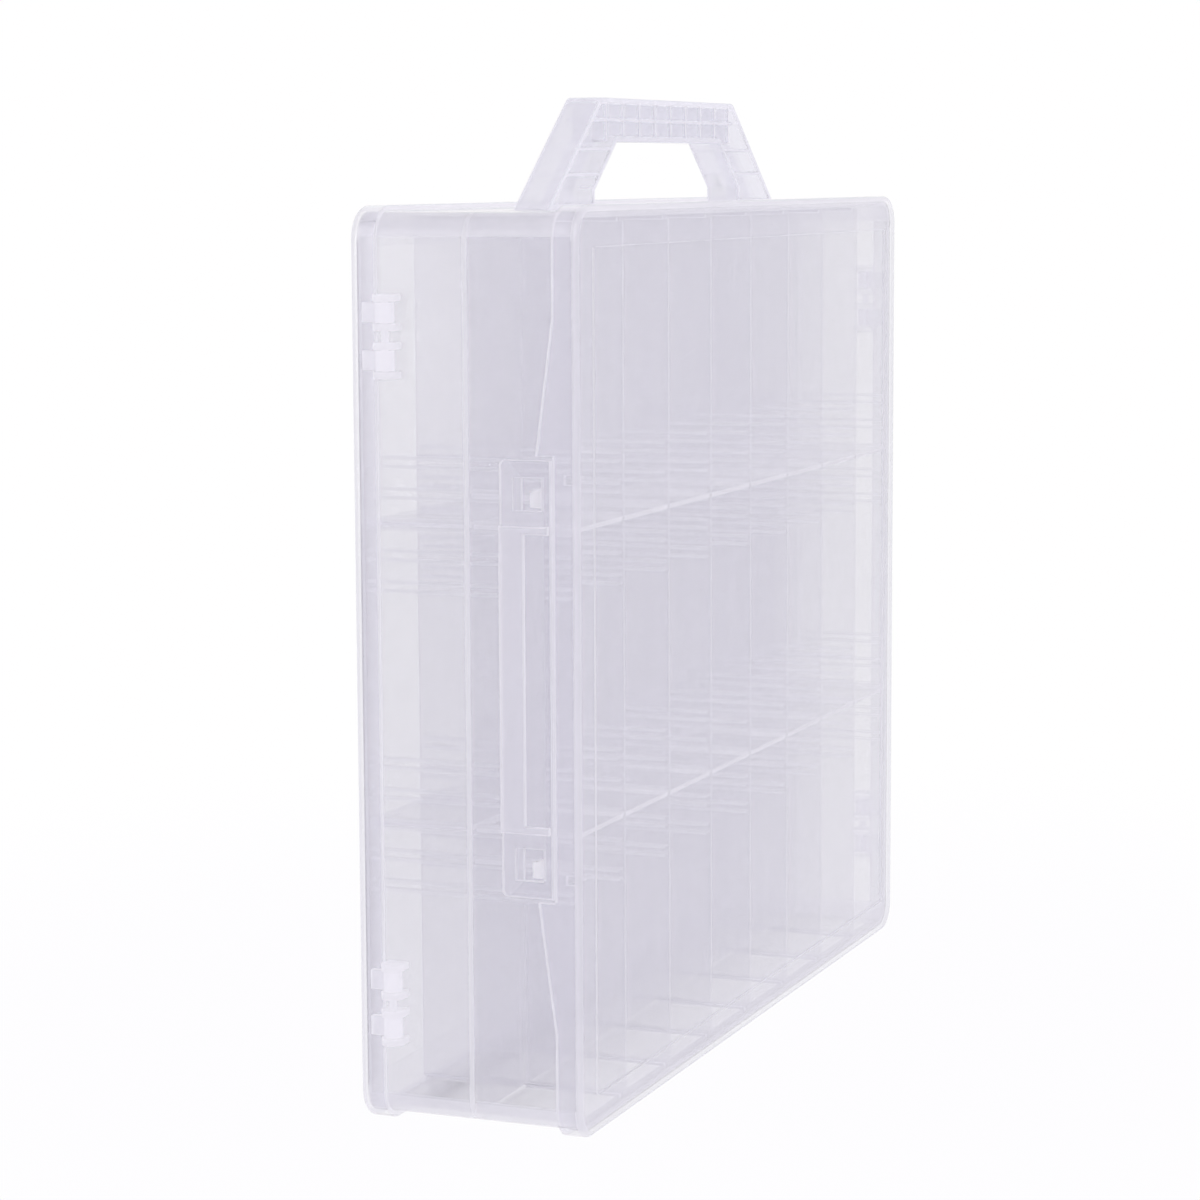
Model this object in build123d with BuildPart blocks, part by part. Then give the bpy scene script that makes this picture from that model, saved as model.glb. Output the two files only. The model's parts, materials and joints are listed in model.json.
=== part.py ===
from build123d import *

import os

# Two-sided carrying case with small compartments, in millimetres. X runs along the wide face, Y through the
# depth and Z up. The front lid faces -Y and the back lid +Y. The origin is at the bottom centre. Turning
# the case half a turn about Z swaps its two sides, so each side is made once and turned for the other.

# Driving sizes of the lids, which set the outside of the case
LID_WIDTH = 330.0
LID_HEIGHT = 290.0
CASE_DEPTH = 76.0
LID_RIM_DEPTH = 8.6
LID_WALL = 1.8
LID_FACE = 1.8
LID_CORNER_R = 10.5
LID_EDGE_R = 2.2
PANEL_INSET_SIDE = 14.0
PANEL_INSET_END = 12.8
PANEL_RECESS = 0.6

# Case body, its rim and its middle wall
BODY_GAP = 0.3
BODY_WALL = 1.8
MIDDLE_WALL = 1.6

# Compartments
COLUMNS = 8
DIVIDER_THICK = 1.6
SHELF_THICK = 1.5
PLATE_GAP = 0.2
SLOT_PLAY = 0.15
LOWER_SHELF = 96.5
UPPER_SHELF = 191.5
SLOT_PITCH = 9.75
SLOTS_EACH_WAY = 2
RAIL_THICK = 1.0
RAIL_PROUD = 1.2
RAIL_SETBACK = 1.5
CHANNEL_PROUD = 1.5
CHANNEL_THICK = 1.2
PLATE_CORNER_R = 1.2

# Lid hinges
HINGE_SPREAD = 210.0
HINGE_OUT = 1.9
HINGE_BACK = 4.2
PIN_R = 1.2
PIN_CLEARANCE = 0.05
BARREL_R = 3.0
BARREL_TALL = 6.2
BARREL_PLAY = 0.3
BARREL_MOUTH = 1.9
EAR_R = 3.7
EAR_THICK = 2.2
EAR_MIDDLE_GAP = 3.6
ARM_PROUD = 2.4
ARM_INSET = 1.0
ARM_LENGTH = 3.4

# Latch flaps, their windows and the hooks that they catch
LATCH_TALL = 136.0
LATCH_REACH = 17.6
LATCH_THICK = 1.8
LATCH_FILM_GAP = 0.15
LATCH_CORNER_R = 2.0
WINDOW_SPREAD = 115.0
WINDOW_TALL = 10.0
WINDOW_NEAR = 3.7
WINDOW_WIDE = 6.8
LEDGE_WIDE = 2.5
LEDGE_DEEP = 0.9
GRIP_TALL = 93.0
GRIP_WIDE = 8.4
GRIP_PROUD = 1.2
GRIP_ROUND = 0.5
GRIP_RIB_TALL = 2.6
GRIP_RIB_NEAR = 1.2
HOOK_TALL = 6.6
HOOK_DROP = 1.1
HOOK_WIDE = 3.6
HOOK_PROUD = 2.0
HOOK_TIP = 1.4
HOOK_CATCH = 3.1
HOOK_TOP_SLANT = 1.3
HOOK_LOW_SLANT = 0.5
WING_WIDE = 5.6
WING_RAMP = 42.0
WING_GAP = 1.2
GUSSET_SPREAD = 124.0
GUSSET_THICK = 1.8
GUSSET_SIDE_LEG = 2.9
GUSSET_FACE_LEG = 7.9
NOTCH_CLEARANCE = 0.5

# Carry handle
HANDLE_FOOT_HALF = 111.0
HANDLE_TOP_HALF = 65.0
HANDLE_TALL = 36.4
HANDLE_THICK = 12.0
HANDLE_BAR = 14.4
HANDLE_LEG = 33.0
HANDLE_OPEN_STEP = 6.0
HANDLE_WEB = 2.0
HANDLE_FLANGE = 2.0
HANDLE_RIB = 1.2
HANDLE_RIB_PITCH = 15.0
HANDLE_TOP_R = 6.0
LEG_LOWER_RIB = 11.2
LEG_UPPER_RIB = 19.6
TENON_LONG = 16.0
TENON_THICK = 2.0
TENON_DEEP = 4.4
TENON_APART = 6.8
TENON_FROM_END = 13.0
TENON_GAP = 0.15

# Places worked out from the driving sizes
MIDDLE_Z = LID_HEIGHT / 2
SHELF_LEVELS = (LOWER_SHELF, UPPER_SHELF)
HALF_WIDTH = LID_WIDTH / 2
HALF_DEPTH = CASE_DEPTH / 2
BODY_INSET = LID_WALL + BODY_GAP
BODY_HALF_WIDTH = HALF_WIDTH - BODY_INSET
BODY_HEIGHT = LID_HEIGHT - 2 * BODY_INSET
BODY_TOP = LID_HEIGHT - BODY_INSET
BODY_RIM_Y = HALF_DEPTH - LID_FACE - BODY_GAP
BODY_CORNER_R = LID_CORNER_R - BODY_INSET
INNER_HALF_WIDTH = BODY_HALF_WIDTH - BODY_WALL
INNER_HEIGHT = BODY_HEIGHT - 2 * BODY_WALL
INNER_CORNER_R = BODY_CORNER_R - BODY_WALL
LID_RIM_Y = HALF_DEPTH - LID_RIM_DEPTH
HINGE_X = HALF_WIDTH + HINGE_OUT
HINGE_Y = LID_RIM_Y - HINGE_BACK
COLUMN_CLEAR = (2 * INNER_HALF_WIDTH - (COLUMNS - 1) * DIVIDER_THICK) / COLUMNS
COLUMN_PITCH = COLUMN_CLEAR + DIVIDER_THICK
DIVIDER_PLACES = [(k - COLUMNS / 2) * COLUMN_PITCH for k in range(1, COLUMNS)]
COLUMN_PLACES = [(k + 0.5 - COLUMNS / 2) * COLUMN_PITCH for k in range(COLUMNS)]
SLOT_OPEN = SHELF_THICK + 2 * SLOT_PLAY
PLATE_NEAR_Y = MIDDLE_WALL / 2 + PLATE_GAP
PLATE_FAR_Y = BODY_RIM_Y - PLATE_GAP
PLATE_DEEP = PLATE_FAR_Y - PLATE_NEAR_Y
RAIL_FAR_Y = BODY_RIM_Y - RAIL_SETBACK
HANDLE_TOP = BODY_TOP + HANDLE_TALL


def rail_heights():
    """Height of each guide rail: a pair for each place that a shelf can take."""
    offset = (SLOT_OPEN + RAIL_THICK) / 2
    return [
        level + step * SLOT_PITCH + side * offset
        for level in SHELF_LEVELS
        for step in range(-SLOTS_EACH_WAY, SLOTS_EACH_WAY + 1)
        for side in (-1, 1)
    ]


def hinge_levels():
    """Bottom of every ear and of every barrel, in the two hinges of one lid."""
    step = EAR_THICK + BARREL_TALL + 2 * BARREL_PLAY
    whole = 2 * step + 2 * EAR_THICK + EAR_MIDDLE_GAP
    ears, barrels = [], []
    for middle in (MIDDLE_Z - HINGE_SPREAD / 2, MIDDLE_Z + HINGE_SPREAD / 2):
        start = middle - whole / 2
        half = step + EAR_THICK + EAR_MIDDLE_GAP
        for base in (start, start + half):
            ears += [base, base + step]
            barrels.append(base + EAR_THICK + BARREL_PLAY)
    return ears, barrels, whole


EAR_LEVELS, BARREL_LEVELS, HINGE_WHOLE = hinge_levels()


def save(part, name):
    """Label one finished piece and write its file."""
    part.label = name
    export_step(part, f"parts/{name}.step")


os.makedirs("parts", exist_ok=True)

# Hinge ears and pins on the outside of the body, at +X for the front lid
with BuildPart() as hinge_fittings:
    for level in EAR_LEVELS:
        with BuildSketch(Plane.XY.offset(level)):
            with Locations((HINGE_X, -HINGE_Y)):
                Circle(EAR_R)
            with Locations(((HINGE_X + BODY_HALF_WIDTH) / 2, -HINGE_Y)):
                Rectangle(HINGE_X - BODY_HALF_WIDTH, 2 * EAR_R)
        extrude(amount=EAR_THICK)
    for middle in (MIDDLE_Z - HINGE_SPREAD / 2, MIDDLE_Z + HINGE_SPREAD / 2):
        with BuildSketch(Plane.XY.offset(middle - HINGE_WHOLE / 2)):
            with Locations((HINGE_X, -HINGE_Y)):
                Circle(PIN_R)
        extrude(amount=HINGE_WHOLE)

# Latch hooks at -X for the front flap: ramps towards the lid, with a face that catches the window's bar
catch_y = -(LID_RIM_Y - WINDOW_NEAR - WINDOW_WIDE) - HOOK_CATCH
ramp_y = catch_y - HOOK_WIDE
hook_bases = [MIDDLE_Z + up * WINDOW_SPREAD / 2 - HOOK_DROP - HOOK_TALL / 2 for up in (-1, 1)]
with BuildPart() as latch_hooks:
    for base in hook_bases:
        with BuildSketch(Plane.XY.offset(base)):
            with BuildLine():
                Polyline(
                    (-BODY_HALF_WIDTH, ramp_y),
                    (-BODY_HALF_WIDTH - HOOK_PROUD, catch_y - HOOK_TIP),
                    (-BODY_HALF_WIDTH - HOOK_PROUD, catch_y),
                    (-BODY_HALF_WIDTH, catch_y),
                    close=True,
                )
            make_face()
        extrude(amount=HOOK_TALL)
    # The top and the bottom of each hook slant towards its catching face
    with BuildSketch(Plane.YZ.offset(-BODY_HALF_WIDTH)):
        for base in hook_bases:
            with BuildLine():
                Polyline(
                    (ramp_y, base),
                    (catch_y, base + HOOK_LOW_SLANT),
                    (catch_y, base + HOOK_TALL - HOOK_TOP_SLANT),
                    (ramp_y, base + HOOK_TALL),
                    close=True,
                )
            make_face()
    extrude(amount=-HOOK_PROUD, mode=Mode.INTERSECT)

# Case body: a frame of four walls with a middle wall, open to both sides
with BuildPart() as case_body:
    with BuildSketch(Plane.XZ):
        with Locations((0, MIDDLE_Z)):
            RectangleRounded(2 * BODY_HALF_WIDTH, BODY_HEIGHT, BODY_CORNER_R)
            RectangleRounded(2 * INNER_HALF_WIDTH, INNER_HEIGHT, INNER_CORNER_R, mode=Mode.SUBTRACT)
    extrude(amount=BODY_RIM_Y, both=True)
    with BuildSketch(Plane.XZ):
        with Locations((0, MIDDLE_Z)):
            RectangleRounded(2 * BODY_HALF_WIDTH, BODY_HEIGHT, BODY_CORNER_R)
    extrude(amount=MIDDLE_WALL / 2, both=True)
    # Guide rails for the shelves on the inside of both side walls
    for side in (-1, 1):
        with BuildSketch(Plane.YZ.offset(side * INNER_HALF_WIDTH)):
            with Locations(*[(0, z) for z in rail_heights()]):
                Rectangle(2 * RAIL_FAR_Y, RAIL_THICK)
        extrude(amount=-side * RAIL_PROUD)
    # Channels that hold the column dividers at the bottom and the top
    channel_offset = DIVIDER_THICK / 2 + PLATE_GAP + CHANNEL_THICK / 2
    for z in (MIDDLE_Z - (INNER_HEIGHT - CHANNEL_PROUD) / 2, MIDDLE_Z + (INNER_HEIGHT - CHANNEL_PROUD) / 2):
        with BuildSketch(Plane.XZ):
            with Locations(*[(x + side * channel_offset, z) for x in DIVIDER_PLACES for side in (-1, 1)]):
                Rectangle(CHANNEL_THICK, CHANNEL_PROUD)
        extrude(amount=RAIL_FAR_Y, both=True)
    # Notches in the rim that leave room for the gussets of the lids
    notch_deep = GUSSET_SIDE_LEG + NOTCH_CLEARANCE
    for side in (-1, 1):
        with BuildSketch(Plane.YZ.offset(side * (INNER_HALF_WIDTH - RAIL_PROUD))):
            with Locations(*[
                (side * (BODY_RIM_Y - notch_deep / 2), MIDDLE_Z + up * GUSSET_SPREAD / 2) for up in (-1, 1)
            ]):
                Rectangle(notch_deep, GUSSET_THICK + 2 * NOTCH_CLEARANCE)
        extrude(amount=side * (BODY_WALL + 2 * RAIL_PROUD), mode=Mode.SUBTRACT)
    # Slots in the top wall that take the tenons of the handle
    tenon_x = HANDLE_FOOT_HALF - TENON_FROM_END
    with BuildSketch(Plane.XY.offset(BODY_TOP)):
        with GridLocations(2 * tenon_x, TENON_APART, 2, 2):
            Rectangle(TENON_LONG + 2 * TENON_GAP, TENON_THICK + 2 * TENON_GAP)
    extrude(amount=-2 * BODY_WALL, mode=Mode.SUBTRACT)
    for turn in (0, 180):
        add(hinge_fittings.part, rotation=(0, 0, turn))
        add(latch_hooks.part, rotation=(0, 0, turn))
save(case_body.part, "case_body")

# Carry handle: a flat frame of I section with cross ribs, on four tenons
foot_z = BODY_TOP
bar_z = HANDLE_TOP - HANDLE_BAR
slope = (HANDLE_FOOT_HALF - HANDLE_TOP_HALF) / HANDLE_TALL
open_top_half = HANDLE_TOP_HALF + slope * HANDLE_BAR - HANDLE_LEG
open_low_half = HANDLE_FOOT_HALF - slope * HANDLE_OPEN_STEP - HANDLE_LEG
with BuildSketch(Plane.XZ) as handle_outline:
    with BuildLine():
        Polyline(
            (-HANDLE_FOOT_HALF, foot_z),
            (-HANDLE_TOP_HALF, HANDLE_TOP),
            (HANDLE_TOP_HALF, HANDLE_TOP),
            (HANDLE_FOOT_HALF, foot_z),
            close=True,
        )
    make_face()
    fillet(handle_outline.vertices().group_by(Axis.Y)[-1], radius=HANDLE_TOP_R)
    with BuildLine():
        Polyline(
            (-open_low_half, foot_z - HANDLE_FLANGE),
            (-open_low_half, foot_z + HANDLE_OPEN_STEP),
            (-open_top_half, bar_z),
            (open_top_half, bar_z),
            (open_low_half, foot_z + HANDLE_OPEN_STEP),
            (open_low_half, foot_z - HANDLE_FLANGE),
            close=True,
        )
    make_face(mode=Mode.SUBTRACT)

with BuildPart() as handle:
    with BuildSketch(Plane.XZ):
        add(handle_outline.sketch)
    extrude(amount=HANDLE_THICK / 2, both=True)
    # Pockets on the front and the back leave the middle web, the flanges and the ribs
    with BuildSketch(Plane.XZ) as pockets:
        add(handle_outline.sketch)
        offset(amount=-HANDLE_FLANGE, kind=Kind.INTERSECTION, mode=Mode.REPLACE)
        with Locations((0, HANDLE_TOP - HANDLE_BAR / 2)):
            Rectangle(2 * HANDLE_TOP_HALF, HANDLE_RIB, mode=Mode.SUBTRACT)
        rib_count = 2 * int(HANDLE_TOP_HALF // HANDLE_RIB_PITCH) + 1
        with Locations((0, HANDLE_TOP - HANDLE_BAR / 2)):
            with GridLocations(HANDLE_RIB_PITCH, HANDLE_BAR, rib_count, 1):
                Rectangle(HANDLE_RIB, HANDLE_BAR, mode=Mode.SUBTRACT)
        leg_middle = (HANDLE_FOOT_HALF + open_top_half) / 2
        with Locations(*[
            (side * leg_middle, foot_z + up) for side in (-1, 1) for up in (LEG_LOWER_RIB, LEG_UPPER_RIB)
        ]):
            Rectangle(HANDLE_FOOT_HALF - open_top_half, HANDLE_RIB, mode=Mode.SUBTRACT)
    extrude(amount=HANDLE_THICK / 2, both=True, mode=Mode.SUBTRACT)
    with BuildSketch(Plane.XZ):
        add(handle_outline.sketch)
    extrude(amount=HANDLE_WEB / 2, both=True)
    with BuildSketch(Plane.XY.offset(foot_z)):
        with GridLocations(2 * tenon_x, TENON_APART, 2, 2):
            Rectangle(TENON_LONG, TENON_THICK)
    extrude(amount=-TENON_DEEP)
save(handle.part, "handle")

# Column divider: a plate with guide rails for the shelves on both faces
with BuildPart() as column_divider:
    with BuildSketch(Plane.YZ):
        with Locations((-(PLATE_NEAR_Y + PLATE_DEEP / 2), MIDDLE_Z)):
            RectangleRounded(PLATE_DEEP, INNER_HEIGHT - 2 * SLOT_PLAY, PLATE_CORNER_R)
    extrude(amount=DIVIDER_THICK / 2, both=True)
    with BuildSketch(Plane.YZ):
        with Locations(*[(-(RAIL_FAR_Y + PLATE_NEAR_Y) / 2, z) for z in rail_heights()]):
            Rectangle(RAIL_FAR_Y - PLATE_NEAR_Y, RAIL_THICK)
    extrude(amount=DIVIDER_THICK / 2 + RAIL_PROUD, both=True)

for side_name, turn in (("front", 0), ("back", 180)):
    for number, x in enumerate(DIVIDER_PLACES, start=1):
        with BuildPart() as placed_divider:
            with Locations(Location((0, 0, 0), (0, 0, turn)) * Location((x, 0, 0))):
                add(column_divider.part)
        save(placed_divider.part, f"column_divider_{side_name}_{number}")

# Shelf: a small plate that rests on a pair of rails in one column
with BuildPart() as shelf:
    with BuildSketch(Plane.XY.offset(-SHELF_THICK / 2)):
        with Locations((0, -(PLATE_NEAR_Y + PLATE_DEEP / 2))):
            RectangleRounded(COLUMN_CLEAR - 2 * PLATE_GAP, PLATE_DEEP, PLATE_CORNER_R)
    extrude(amount=SHELF_THICK)

for side_name, turn in (("front", 0), ("back", 180)):
    for level_name, level in zip(("lower", "upper"), SHELF_LEVELS):
        for number, x in enumerate(COLUMN_PLACES, start=1):
            with BuildPart() as placed_shelf:
                with Locations(Location((0, 0, 0), (0, 0, turn)) * Location((x, 0, level))):
                    add(shelf.part)
            save(placed_shelf.part, f"shelf_{side_name}_{level_name}_{number}")

# Front lid: a shallow tray over the rim of the body, hinged at +X and latched at -X
with BuildPart() as front_lid:
    with BuildSketch(Plane.XZ.offset(HALF_DEPTH)):
        with Locations((0, MIDDLE_Z)):
            RectangleRounded(LID_WIDTH, LID_HEIGHT, LID_CORNER_R)
    extrude(amount=-LID_RIM_DEPTH)
    fillet(front_lid.faces().sort_by(Axis.Y)[0].edges(), radius=LID_EDGE_R)
    with BuildSketch(Plane.XZ.offset(HALF_DEPTH - LID_FACE)):
        with Locations((0, MIDDLE_Z)):
            RectangleRounded(
                LID_WIDTH - 2 * LID_WALL, LID_HEIGHT - 2 * LID_WALL, LID_CORNER_R - LID_WALL
            )
    extrude(amount=-LID_RIM_DEPTH, mode=Mode.SUBTRACT)
    # The large face is set back a little inside a plain border
    with BuildSketch(Plane.XZ.offset(HALF_DEPTH)):
        with Locations((0, MIDDLE_Z)):
            Rectangle(LID_WIDTH - 2 * PANEL_INSET_SIDE, LID_HEIGHT - 2 * PANEL_INSET_END)
    extrude(amount=-PANEL_RECESS, mode=Mode.SUBTRACT)
    # Wings of the rim stand guard above and below the latch flap
    for up in (-1, 1):
        wing_z = MIDDLE_Z + up * (LATCH_TALL / 2 + WING_GAP)
        with BuildSketch(Plane.YZ.offset(-HALF_WIDTH)):
            with BuildLine():
                Polyline(
                    (-LID_RIM_Y - LID_WALL, wing_z),
                    (-LID_RIM_Y + WING_WIDE, wing_z),
                    (-LID_RIM_Y, wing_z + up * WING_RAMP),
                    (-LID_RIM_Y - LID_WALL, wing_z + up * WING_RAMP),
                    close=True,
                )
            make_face()
        extrude(amount=LID_WALL)
    # Gussets brace the corner beside the latch
    gusset_x = -HALF_WIDTH + LID_WALL
    gusset_y = -HALF_DEPTH + LID_FACE
    for up in (-1, 1):
        with BuildSketch(Plane.XY.offset(MIDDLE_Z + up * GUSSET_SPREAD / 2 - GUSSET_THICK / 2)):
            with BuildLine():
                Polyline(
                    (gusset_x - LID_WALL / 2, gusset_y - LID_FACE / 2),
                    (gusset_x + GUSSET_FACE_LEG, gusset_y - LID_FACE / 2),
                    (gusset_x + GUSSET_FACE_LEG, gusset_y),
                    (gusset_x, gusset_y + GUSSET_SIDE_LEG),
                    (gusset_x - LID_WALL / 2, gusset_y + GUSSET_SIDE_LEG),
                    close=True,
                )
            make_face()
        extrude(amount=GUSSET_THICK)
    # Barrels with an open mouth that snap over the hinge pins, each on an arm from the rim
    arm_in = HALF_WIDTH - ARM_INSET
    arm_out = HALF_WIDTH + ARM_PROUD
    for level in BARREL_LEVELS:
        with BuildSketch(Plane.XY.offset(level)):
            with Locations((HINGE_X, -HINGE_Y)):
                Circle(BARREL_R)
            with Locations(((arm_in + arm_out) / 2, -(HINGE_Y + LID_RIM_Y + ARM_LENGTH) / 2)):
                Rectangle(arm_out - arm_in, LID_RIM_Y + ARM_LENGTH - HINGE_Y)
            with Locations((HINGE_X, -HINGE_Y)):
                Circle(PIN_R + PIN_CLEARANCE, mode=Mode.SUBTRACT)
            with Locations((HINGE_X - BARREL_R / 2, -HINGE_Y)):
                Rectangle(BARREL_R, BARREL_MOUTH, mode=Mode.SUBTRACT)
        extrude(amount=BARREL_TALL)
save(front_lid.part, "front_lid")

with BuildPart() as back_lid:
    add(front_lid.part, rotation=(0, 0, 180))
save(back_lid.part, "back_lid")

# Latch flap: hangs on a thin film along the rim of its lid, and its two windows catch the hooks
flap_near_y = -LID_RIM_Y + LATCH_FILM_GAP
flap_free_y = -LID_RIM_Y + LATCH_REACH
with BuildPart() as front_latch:
    with BuildSketch(Plane.YZ.offset(-HALF_WIDTH)) as flap_outline:
        with Locations(((flap_near_y + flap_free_y) / 2, MIDDLE_Z)):
            Rectangle(flap_free_y - flap_near_y, LATCH_TALL)
        fillet(flap_outline.vertices().group_by(Axis.X)[-1], radius=LATCH_CORNER_R)
    extrude(amount=LATCH_THICK)
    with BuildSketch(Plane.YZ.offset(-HALF_WIDTH)) as grip_outline:
        with Locations((flap_free_y - GRIP_WIDE / 2, MIDDLE_Z)):
            Rectangle(GRIP_WIDE, GRIP_TALL)
        rib_long = LATCH_REACH - GRIP_RIB_NEAR
        with Locations((flap_free_y - rib_long / 2, MIDDLE_Z)):
            with GridLocations(rib_long, GRIP_TALL, 1, 2):
                Rectangle(rib_long, GRIP_RIB_TALL)
    extrude(amount=-GRIP_PROUD)
    fillet(front_latch.faces().sort_by(Axis.X)[0].edges(), radius=GRIP_ROUND)
    with BuildSketch(Plane.YZ.offset(-HALF_WIDTH)):
        with Locations((-LID_RIM_Y + WINDOW_NEAR + WINDOW_WIDE / 2, MIDDLE_Z)):
            with GridLocations(WINDOW_WIDE, WINDOW_SPREAD, 1, 2):
                Rectangle(WINDOW_WIDE, WINDOW_TALL)
    extrude(amount=LATCH_THICK, mode=Mode.SUBTRACT)
    with BuildSketch(Plane.YZ.offset(-HALF_WIDTH)):
        with Locations((-LID_RIM_Y + WINDOW_NEAR + WINDOW_WIDE + LEDGE_WIDE / 2, MIDDLE_Z)):
            with GridLocations(WINDOW_WIDE, WINDOW_SPREAD, 1, 2):
                Rectangle(LEDGE_WIDE, WINDOW_TALL)
    extrude(amount=LEDGE_DEEP, mode=Mode.SUBTRACT)
save(front_latch.part, "front_latch")

with BuildPart() as back_latch:
    add(front_latch.part, rotation=(0, 0, 180))
save(back_latch.part, "back_latch")
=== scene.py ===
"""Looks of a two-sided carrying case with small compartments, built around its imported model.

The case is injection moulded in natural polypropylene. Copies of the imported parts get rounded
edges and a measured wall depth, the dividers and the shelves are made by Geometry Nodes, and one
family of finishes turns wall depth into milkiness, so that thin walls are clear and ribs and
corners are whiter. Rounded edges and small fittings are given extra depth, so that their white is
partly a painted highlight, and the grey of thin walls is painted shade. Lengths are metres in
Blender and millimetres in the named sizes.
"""

from __future__ import annotations

import json
import logging
import math
from dataclasses import dataclass, field
from enum import Enum

import bmesh
import bpy
from mathutils import Matrix, Vector
from mathutils.bvhtree import BVHTree

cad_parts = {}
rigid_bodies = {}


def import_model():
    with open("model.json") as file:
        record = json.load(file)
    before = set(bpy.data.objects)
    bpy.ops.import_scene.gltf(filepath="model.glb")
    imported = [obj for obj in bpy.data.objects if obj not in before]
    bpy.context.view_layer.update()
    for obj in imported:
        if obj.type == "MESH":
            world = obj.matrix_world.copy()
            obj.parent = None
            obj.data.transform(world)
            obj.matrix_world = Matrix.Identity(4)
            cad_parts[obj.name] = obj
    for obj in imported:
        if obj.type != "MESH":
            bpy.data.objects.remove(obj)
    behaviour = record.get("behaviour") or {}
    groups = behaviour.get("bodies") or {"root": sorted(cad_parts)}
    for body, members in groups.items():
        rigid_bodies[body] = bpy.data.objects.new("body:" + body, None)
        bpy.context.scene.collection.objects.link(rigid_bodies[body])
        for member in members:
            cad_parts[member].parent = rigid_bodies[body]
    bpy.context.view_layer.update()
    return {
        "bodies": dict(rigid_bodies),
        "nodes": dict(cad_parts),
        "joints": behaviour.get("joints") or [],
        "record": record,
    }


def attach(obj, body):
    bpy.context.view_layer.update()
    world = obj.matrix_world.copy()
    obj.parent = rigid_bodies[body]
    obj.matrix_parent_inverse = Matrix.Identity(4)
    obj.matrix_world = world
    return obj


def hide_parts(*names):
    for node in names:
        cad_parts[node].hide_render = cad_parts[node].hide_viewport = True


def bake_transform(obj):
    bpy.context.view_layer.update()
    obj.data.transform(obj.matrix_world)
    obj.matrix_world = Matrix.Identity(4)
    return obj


LOG = logging.getLogger("carrying_case")
MM = 0.001
# The stored depth is raised on rounded edges and fittings, which whitens them as a painted
# highlight.
DEPTH_AND_HIGHLIGHT_ATTRIBUTE = "wall_depth"
WHOLE_FACE_ATTRIBUTE = "whole_face"
WHITE = "#FFFFFF"
# Points this near, in millimetres, are welded, or touch a cut or each other
WELD_DISTANCE = 0.002
TOUCH_DISTANCE = 0.001
# Faces that turn by less than this, in degrees, are one flat face
FLAT_ANGLE = 0.5


class Slot(Enum):
    """Material slots of the record that the pieces take their finish from."""

    BODY = "case_body_plastic"
    HANDLE = "handle_plastic"
    DIVIDER = "divider_plastic"
    SHELF = "shelf_plastic"
    LID = "lid_plastic"
    LATCH = "latch_plastic"


class Side(Enum):
    """The two open sides of the case, each with its turn about the upright axis."""

    FRONT = 0.0
    BACK = math.pi

    @property
    def word(self) -> str:
        """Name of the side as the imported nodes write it."""
        return self.name.lower()

    @property
    def turn(self) -> Matrix:
        """Matrix that carries a front piece to this side."""
        return Matrix.Rotation(self.value, 4, "Z")


def linear_colour(hex_colour: str) -> tuple[float, float, float, float]:
    """Turn an sRGB hex value into a linear colour.

    Args:
        hex_colour: six hex digits after a hash sign.

    Returns:
        Red, green, blue and an alpha of 1.
    """
    channels = [int(hex_colour[i : i + 2], 16) / 255 for i in (1, 3, 5)]
    light = [c / 12.92 if c <= 0.04045 else ((c + 0.055) / 1.055) ** 2.4 for c in channels]
    return (*light, 1.0)


def add_node(
    tree: bpy.types.NodeTree,
    kind: str,
    inputs: dict[str | int, object] | None = None,
    **settings: object,
) -> bpy.types.Node:
    """Add a node with its settings, values and links.

    Args:
        tree: node tree that gets the node.
        kind: type name of the node.
        inputs: value, socket or list of sockets for each input, by its name or number.
        settings: properties of the node.

    Returns:
        The new node.
    """
    node = tree.nodes.new(kind)
    for name, value in settings.items():
        setattr(node, name, value)
    for key, value in (inputs or {}).items():
        for source in value if isinstance(value, list) else [value]:
            if isinstance(source, bpy.types.NodeSocket):
                tree.links.new(source, node.inputs[key])
            else:
                node.inputs[key].default_value = source
    return node


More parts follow.
